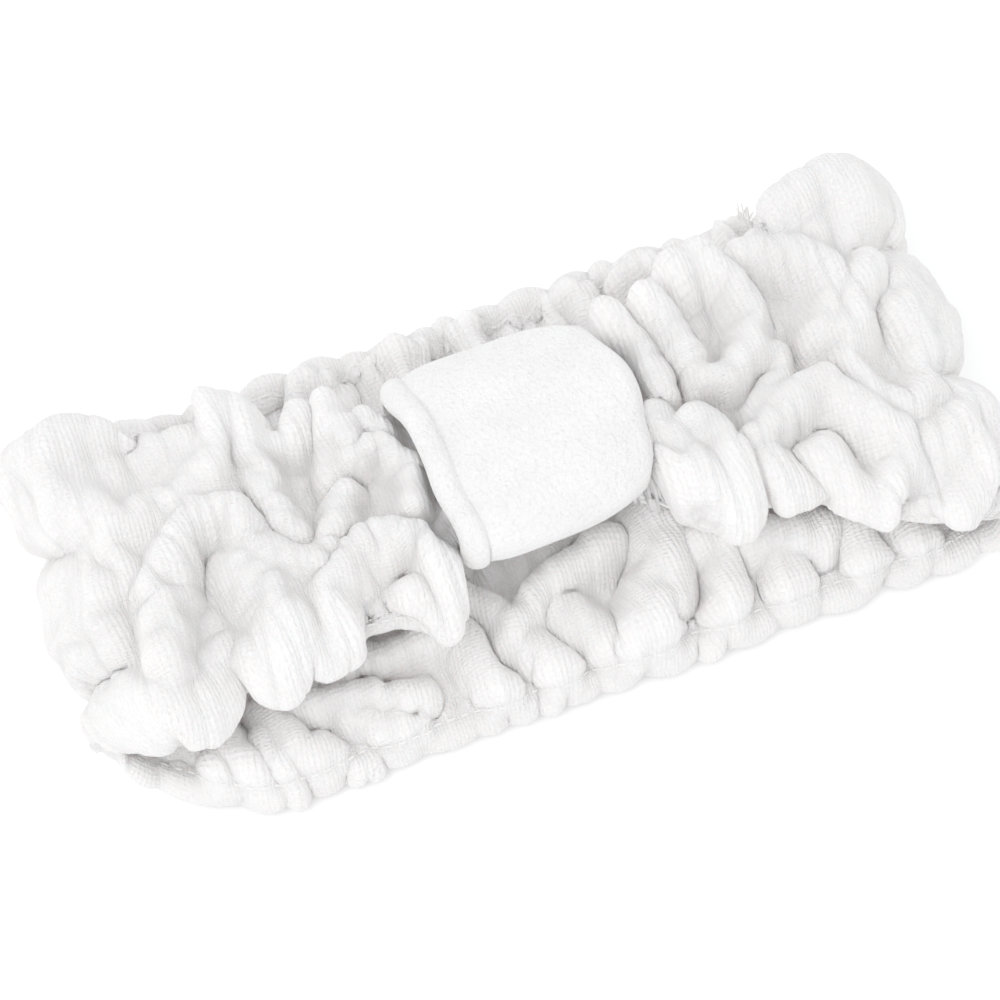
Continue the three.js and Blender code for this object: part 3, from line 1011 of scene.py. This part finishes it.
    def thread_tuft(self) -> bpy.types.Object:
        """The frayed thread ends that stand out of the upper edge at the cross seam.

        Each thread is c + s * d + 0.9 * s^2 * b for s from 0 to its length: c its root, d its
        direction, b its bend.
        """
        rng = np.random.default_rng(self.seed + 2)
        count, places = 11, 9
        aside = 7.0
        root, _ = self.surface.at((aside + rng.uniform(-1.6, 1.6, count)) / self.cut_length, 0.93)
        lean = rng.normal(size=(count, 3)) * (0.2, 0.12, 0.14) + (0.1, 0.75, 0.75)
        bend = rng.normal(size=(count, 3)) * 0.035
        t = np.linspace(0, 1, places)[None, :, None] * rng.uniform(3.0, 6.5, count)[:, None, None]
        path = root[:, None] + unit(lean)[:, None] * t + bend[:, None] * t**2
        up = np.broadcast_to(np.array([1.0, 0.2, 0.1]), path.shape)
        obj = threads("seam_thread_tuft", path, up, 0.2, 6)
        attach(obj, "back")
        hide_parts("seam_thread_tail")
        return obj


# ---- the keeper tab -------------------------------------------------------------------------------


@dataclass
class Keeper:
    """The plain square of terry that is wrapped round the front and cinches it. Sizes are in mm.

    Its section is a superellipse, |y/a|^n + |(z - c)/b|^n = 1, and it runs from a rolled welt on its
    left to a plain edge on its right.
    """

    half_width: float = 23.9
    half_height: float = 9.0
    height: float = 34.2
    power: float = 2.6
    offset: float = 2.8
    ply_half: float = 1.1
    around: int = 260
    along: int = 74
    seed: int = 5

    def sides(self, y: Array) -> tuple[Array, Array]:
        """The left and right edges' x at a place y: a slanted line, and a shallow arc."""
        left = -20.6 - 0.09 * y
        right = 29.6 - 3.2 * np.clip(np.abs((y + 2) / 24.0), 0, 1) ** 2
        return left, right

    def narrowing(self, x: Array) -> Array:
        """How the section shrinks towards the tab's two open sides: 1 - 0.2 |(x - 1) / 23|^3."""
        return 1 - 0.2 * np.clip(np.abs((x - 1.0) / 23.0), 0, 1.4) ** 3

    def ring(self) -> tuple[Array, Array]:
        """The section's points (y, z), evenly spaced along it, starting under the band.

        The superellipse is y = a sgn(cos t) |cos t|^(2/n), z = c + b sgn(sin t) |sin t|^(2/n).
        """
        t = np.linspace(-math.pi / 2, 1.5 * math.pi, 4001)
        c, s = np.cos(t), np.sin(t)
        y = self.half_width * np.sign(c) * np.abs(c) ** (2 / self.power)
        z = self.height + self.half_height * np.sign(s) * np.abs(s) ** (2 / self.power)
        arc = np.concatenate([[0], np.cumsum(np.hypot(np.diff(y), np.diff(z)))])
        here = np.arange(self.around) * arc[-1] / self.around
        return np.interp(here, arc, y), np.interp(here, arc, z)

    @property
    def girth(self) -> float:
        """The length of the cloth round the band."""
        y, z = self.ring()
        return float(np.hypot(y - np.roll(y, 1), z - np.roll(z, 1)).sum())

    def build(self) -> bpy.types.Object:
        """The tab as a closed skin round its section.

        Over the middle surface stand the welt, (1 - ((d - 2.4) / 2.5)^2)^0.5 at distance d from the
        left edge, the crease beside it, -0.75 * exp(-((d - 6.2) / 1.6)^2), which is shallower on the
        tab's sides and below, and broad undulations of about 0.45 mm. The left edge curls in by 1.3 mm
        over its last 2.2 mm and the right one by 1.9 mm over its last 3.2 mm.
        """
        rng = np.random.default_rng(self.seed)
        y, z = self.ring()
        y, z = y[:, None], z[:, None]
        share = (1 - np.cos(np.linspace(0, math.pi, self.along))) / 2
        share = (0.55 * share + 0.45 * np.linspace(0, 1, self.along))[None, :]
        left, right = self.sides(y)
        wave = banded_noise(rng, (self.around, self.along), (self.girth, 47), (16, 24))
        left = left + 0.3 * wave[:, :1]
        right = right + 0.3 * wave[:, -1:]
        wide = right - left
        x = left + wide * share
        from_left, from_right = share * wide, (1 - share) * wide
        crown = smoothstep(z, self.height, self.height + self.half_height)
        welt = np.sqrt(np.clip(1 - ((from_left - 2.4) / 2.5) ** 2, 0, 1))
        crease = np.exp(-(((from_left - 6.2) / 1.6) ** 2))
        lift = 1.0 * welt - 0.75 * crease * (0.3 + 0.7 * crown) + 0.45 * wave
        lift = lift - 1.3 * (1 - smoothstep(from_left, 0, 2.2)) - 1.9 * (1 - smoothstep(from_right, 0, 3.2))
        narrow = self.narrowing(x)
        y = self.offset + y * narrow
        z = self.height + (z - self.height) * (0.5 + 0.5 * narrow)
        middle = np.stack([x, y, z], -1)
        tangent = np.roll(middle, -1, 0) - np.roll(middle, 1, 0)
        normals = unit(np.cross(np.array([1.0, 0, 0]), tangent))
        out = np.sign((normals[..., 1] * (middle[..., 1] - self.offset)).sum())
        middle = middle + normals * out * lift[..., None]
        closed = np.sqrt(np.clip(1 - (2 * share - 1) ** 24, 0.0, 1))
        half = (self.ply_half + 0.3 * welt) * closed + 0.02
        turned = grid_normals(middle)
        obj = slab("keeper_tab_cloth", middle, turned, half, True)
        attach(obj, "front")
        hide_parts("keeper_tab")
        self.girth * MM
        return obj

    def seam(self) -> bpy.types.Object:
        """The closing seam's allowance: a soft strip under the keeper, inside the loop."""
        rows, columns = 70, 9
        share = np.linspace(0, 1, rows)[:, None]
        side = np.linspace(-1, 1, columns)[None, :]
        rng = np.random.default_rng(self.seed + 1)
        wave = banded_noise(rng, (rows, columns), (44, 30), (9, 30))
        x = -18.6 + 42.0 * share + 0 * side
        y = self.offset + 4.2 * side + 0.5 * wave[:, :1]
        z = self.height - self.half_height - self.ply_half - 0.55 + 0.18 * wave
        middle = np.stack([x, y + 0 * share, z], -1)
        rim = np.sqrt(np.clip(1 - side**6, 0.05, 1) * np.clip(1 - (2 * share - 1) ** 30, 0.02, 1))
        normals = np.broadcast_to(np.array([0, 0, 1.0]), middle.shape)
        obj = slab("keeper_closing_seam", middle, normals, 0.6 * rim, False)
        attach(obj, "front")
        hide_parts("keeper_seam")
        return obj

    def seam_stitches(self) -> bpy.types.Object:
        """The overlock over the closing seam: a thread that sways from side to side below it."""
        turns = 17
        share = np.linspace(0, 1, turns * 8 + 1)
        low = self.height - self.half_height - self.ply_half - 1.25
        y = self.offset + 3.6 * sway(share, turns)
        path = np.stack([-17.8 + 40.4 * share, y, np.full_like(share, low)], -1)
        up = np.broadcast_to(np.array([0, 0, -1.0]), path.shape)
        obj = threads("keeper_seam_overlock", path[None], up[None], 0.24)
        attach(obj, "front")
        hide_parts("keeper_seam_stitch")
        return obj


# ---- finishes -------------------------------------------------------------------------------------


class Material:
    """A node material under construction: adds nodes, sets their inputs and links them."""

    def __init__(self, slot: str) -> None:
        """Starts the material with its shader, and keeps the name of the slot it is for."""
        self.data = bpy.data.materials.new(f"{slot}_finish")
        self.data["slot"] = slot
        self.data.use_nodes = True
        self.tree = self.data.node_tree
        self.shader = self.tree.nodes["Principled BSDF"]

    def add(self, kind: str, options: dict[str, object], values: dict[str, object]) -> bpy.types.Node:
        """A node of a kind with its options, and its inputs set to values or linked to sockets."""
        node = self.tree.nodes.new(kind)
        for name, option in options.items():
            setattr(node, name, option)
        for name, value in values.items():
            socket = node.inputs[int(name)] if name.isdigit() else node.inputs[name]
            if isinstance(value, bpy.types.NodeSocket):
                self.tree.links.new(value, socket)
            else:
                socket.default_value = value
        return node

    def noise(self, place: bpy.types.NodeSocket, scale: float, detail: float) -> bpy.types.NodeSocket:
        """A noise over a place, from 0 to 1."""
        values = {"Vector": place, "Scale": scale, "Detail": detail}
        return self.add("ShaderNodeTexNoise", {}, values).outputs["Fac"]

    def wave(self, direction: str, period_mm: float, values: dict[str, object]) -> bpy.types.NodeSocket:
        """Bands of a period along a direction, from 0 to 1."""
        values = {**values, "Scale": rate(period_mm)}
        return self.add("ShaderNodeTexWave", {"bands_direction": direction}, values).outputs["Fac"]

    def mix(self, share: bpy.types.NodeSocket, low: tuple, high: tuple) -> bpy.types.NodeSocket:
        """A colour between two, by a share."""
        ramp = self.add("ShaderNodeValToRGB", {}, {"Fac": share})
        ramp.color_ramp.elements[0].color = (*low, 1)
        ramp.color_ramp.elements[1].color = (*high, 1)
        ramp.color_ramp.elements[0].position = 0.3
        ramp.color_ramp.elements[1].position = 0.7
        return ramp.outputs["Color"]

    def sum(self, parts: list[tuple[bpy.types.NodeSocket, float]]) -> bpy.types.NodeSocket:
        """The weighted sum of the parts."""
        total: object = 0.0
        for part, weight in parts:
            options = {"operation": "MULTIPLY_ADD"}
            total = self.add("ShaderNodeMath", options, {"0": part, "1": weight, "2": total}).outputs[0]
        return total

    def set(self, values: dict[str, object]) -> None:
        """Sets inputs of the shader itself to values."""
        for name, value in values.items():
            self.shader.inputs[name].default_value = value

    def colour(self, share: bpy.types.NodeSocket, low: tuple, high: tuple) -> None:
        """Gives the shader a colour between two, by a share."""
        self.tree.links.new(self.mix(share, low, high), self.shader.inputs["Base Color"])

    def relief(self, height: bpy.types.NodeSocket, depth: float, strength: float) -> None:
        """A bump of the given depth in metres under the shader."""
        bump = self.add(
            "ShaderNodeBump", {}, {"Height": height, "Distance": depth, "Strength": strength}
        )
        self.tree.links.new(bump.outputs["Normal"], self.shader.inputs["Normal"])


def rate(period_mm: float) -> float:
    """The scale that gives a band wave this period: a band wave turns 20 * scale radians a metre."""
    return 2 * math.pi / (20.0 * period_mm * MM)


@dataclass(frozen=True)
class BandTerry:
    """The band's terry: fine wales across the band, loops of pile along them, and soft sheen."""

    slot: str = "band_terry"
    # light and shade are the colour ramp's ends. Both are set close to white, lighter than the keeper's
    # copy of the same cloth, as painted light on the shaded folds. Shade, the darker and warmer end, is
    # painted shade in the hollows of the wales and pile.
    light: tuple[float, float, float] = (0.98, 0.949, 0.937)
    shade: tuple[float, float, float] = (0.935, 0.886, 0.868)
    wale_mm: float = 1.3
    course_mm: float = 0.9
    pile_scale: float = 2400.0
    depth: float = 0.0011

    def build(self) -> bpy.types.Material:
        """The material, whose pattern follows the cloth's own map."""
        made = Material(self.slot)
        place = made.add("ShaderNodeUVMap", {"uv_map": "cloth"}, {}).outputs[0]
        warp = {"Vector": place, "Distortion": 1.6, "Detail": 1.0, "Detail Scale": 1.4}
        wale = made.wave("X", self.wale_mm, warp)
        course = made.wave("Y", self.course_mm, warp)
        pile = made.noise(place, self.pile_scale, 3.0)
        broad = made.noise(place, 42.0, 3.0)
        height = made.sum([(wale, 0.45), (course, 0.25), (pile, 1.0)])
        # Painted shade: the colour is darker and warmer where the wales and pile are low, mixed with a
        # broad random tone
        tone_and_hollow_shade = made.sum([(height, 0.3), (broad, 0.5)])
        made.colour(tone_and_hollow_shade, self.shade, self.light)
        made.set(
            {
                "Roughness": 0.95,
                "Specular IOR Level": 0.2,
                "Subsurface Weight": 0.3,
                "Subsurface Radius": (1.0, 0.82, 0.72),
                "Subsurface Scale": 0.003,
                "Sheen Weight": 0.25,
                "Sheen Roughness": 0.5,
            }
        )
        made.relief(height, self.depth, 0.75)
        return made.data


@dataclass(frozen=True)
class KeeperTerry:
    """The keeper's terry: a dense, short, brushed pile with a faint grain across the tab."""

    slot: str = "keeper_terry"
    # The keeper is the band's own cloth. These colours are set darker than the band's as painted shade, to
    # offset that the flat tab faces the key light while the band's folds shade each other.
    light: tuple[float, float, float] = (0.905, 0.893, 0.885)
    shade: tuple[float, float, float] = (0.8, 0.785, 0.773)
    pile_scale: float = 1500.0
    depth: float = 0.0011

    def build(self) -> bpy.types.Material:
        """The material, whose pattern is worked out from the object's own coordinates."""
        made = Material(self.slot)
        place = made.add("ShaderNodeTexCoord", {}, {}).outputs["Object"]
        pile = made.noise(place, self.pile_scale, 3.0)
        tufts = made.add(
            "ShaderNodeTexVoronoi", {"feature": "F1"}, {"Vector": place, "Scale": 900.0}
        )
        broad = made.noise(place, 120.0, 4.0)
        height = made.sum([(pile, 0.9), (tufts.outputs["Distance"], -0.5)])
        # Painted shade: the colour is darker where the pile is low, mixed with a broad random tone
        tone_and_hollow_shade = made.sum([(pile, 0.4), (broad, 0.6)])
        made.colour(tone_and_hollow_shade, self.shade, self.light)
        made.set(
            {
                "Roughness": 0.95,
                "Specular IOR Level": 0.2,
                "Sheen Weight": 0.3,
                "Sheen Roughness": 0.5,
            }
        )
        made.relief(height, self.depth, 0.7)
        return made.data


@dataclass(frozen=True)
class ElasticTape:
    """White knitted elastic with fine ribs."""

    slot: str = "elastic_tape"
    rib_mm: float = 0.8

    def build(self) -> bpy.types.Material:
        """The material."""
        made = Material(self.slot)
        place = made.add("ShaderNodeTexCoord", {}, {}).outputs["Object"]
        rib = made.wave("DIAGONAL", self.rib_mm, {"Vector": place, "Distortion": 0.6})
        # Painted shade: the tape is darker in the hollows between its ribs
        made.colour(rib, (0.8, 0.8, 0.79), (0.9, 0.9, 0.89))
        made.set({"Roughness": 0.7})
        made.relief(rib, 0.0002, 0.6)
        return made.data


@dataclass(frozen=True)
class SewingThread:
    """White spun thread with the twist of its plies."""

    slot: str = "sewing_thread"
    twist_mm: float = 0.35

    def build(self) -> bpy.types.Material:
        """The material."""
        made = Material(self.slot)
        place = made.add("ShaderNodeTexCoord", {}, {}).outputs["Object"]
        ply = made.wave("DIAGONAL", self.twist_mm, {"Vector": place, "Distortion": 0.8})
        # Painted shade: the thread is darker in the grooves between its plies
        made.colour(ply, (0.84, 0.83, 0.81), (0.93, 0.92, 0.91))
        made.set({"Roughness": 0.6, "Sheen Weight": 0.2})
        made.relief(ply, 0.0001, 0.7)
        return made.data


@dataclass(frozen=True)
class FloorPaper:
    """Matt white paper that glows a little, so that its shade stays faint."""

    name: str = "floor_paper"
    glow: float = 0.12

    def build(self) -> bpy.types.Material:
        """The material."""
        made = Material(self.name)
        place = made.add("ShaderNodeTexCoord", {}, {}).outputs["Object"]
        grain = made.noise(place, 900.0, 2.0)
        made.colour(grain, (0.95, 0.95, 0.95), (0.97, 0.97, 0.97))
        made.set(
            {
                "Roughness": 1.0,
                "Specular IOR Level": 0.0,
                "Emission Color": (1, 1, 1, 1),
                "Emission Strength": self.glow,
            }
        )
        return made.data


# ---- studio ---------------------------------------------------------------------------------------


@dataclass
class Studio:
    """The pale floor, the soft lights and the camera."""

    azimuth: float = -21.0
    elevation: float = 65.0
    scale: float = 4.48
    lens: float = 120.0
    aim: tuple[float, float, float] = (-2.4, 2.4, 8.7)
    sky: float = 1.0
    sky_colour: tuple[float, float, float] = (0.966, 0.983, 1.0)
    key_place: tuple[float, float, float] = (-0.75, -0.35, 1.25)
    key_size: float = 0.8
    key_power: float = 6.4
    gamma: float = 1.5

    def camera(self) -> None:
        """A long lens that looks down on the band from its lower edge's side."""
        a, e = math.radians(self.azimuth), math.radians(self.elevation)
        back = Vector((math.sin(a) * math.cos(e), -math.cos(a) * math.cos(e), math.sin(e)))
        data = bpy.data.cameras.new("camera")
        data.lens = self.lens
        distance = 1000 * (self.lens / data.sensor_width) / self.scale * MM
        obj = bpy.data.objects.new("camera", data)
        bpy.context.scene.collection.objects.link(obj)
        obj.location = Vector(self.aim) * MM + back * distance
        obj.rotation_mode = "QUATERNION"
        obj.rotation_quaternion = (-back).to_track_quat("-Z", "Y")
        data.clip_start, data.clip_end = 0.01, 20
        bpy.context.scene.camera = obj

    def light(self, name: str, place: tuple[float, float, float], size: float, power: float) -> None:
        """A square soft light that faces the band."""
        data = bpy.data.lights.new(name, "AREA")
        data.shape = "SQUARE"
        data.size = size
        data.energy = power
        obj = bpy.data.objects.new(name, data)
        bpy.context.scene.collection.objects.link(obj)
        obj.location = place
        obj.rotation_mode = "QUATERNION"
        obj.rotation_quaternion = Vector(place).to_track_quat("Z", "Y")

    def build(self) -> None:
        """Sets up the whole studio."""
        self.camera()
        floor = level_square("floor", 4000)
        floor.data.materials.append(FloorPaper().build())
        world = bpy.data.worlds.new("studio_world")
        bpy.context.scene.world = world
        world.use_nodes = True
        world.node_tree.nodes["Background"].inputs["Color"].default_value = (*self.sky_colour, 1)
        world.node_tree.nodes["Background"].inputs["Strength"].default_value = self.sky
        self.light("key_light", self.key_place, self.key_size, self.key_power)
        bpy.context.scene.view_settings.view_transform = "Standard"
        bpy.context.scene.view_settings.gamma = self.gamma


# ---- the whole headband ---------------------------------------------------------------------------


def dress(obj: bpy.types.Object, material: bpy.types.Material) -> None:
    """Gives a piece its finish, its slot of the same name, and a line in the log."""
    obj.data.materials.append(material)
    LOG.info("%s: %d faces, %s", obj.name, len(obj.data.polygons), material["slot"])


def main() -> None:
    """Builds the studio and the pieces in order."""
    logging.basicConfig(level=logging.INFO, format="%(message)s")
    Studio().build()
    band_terry, keeper_terry = BandTerry().build(), KeeperTerry().build()
    elastic_tape, sewing_thread = ElasticTape().build(), SewingThread().build()
    band, keeper = GatheredBand(), Keeper()
    dress(band.build(), band_terry)
    for edge in Edge:
        dress(band.elastic(edge), elastic_tape)
        dress(band.bartack(edge), sewing_thread)
        dress(band.casing_stitches(edge), sewing_thread)
    dress(band.join_seam(), band_terry)
    dress(band.join_stitches(), sewing_thread)
    dress(band.thread_tuft(), sewing_thread)
    dress(keeper.build(), keeper_terry)
    dress(keeper.seam(), keeper_terry)
    dress(keeper.seam_stitches(), sewing_thread)


if __name__ == "__main__":
    main()
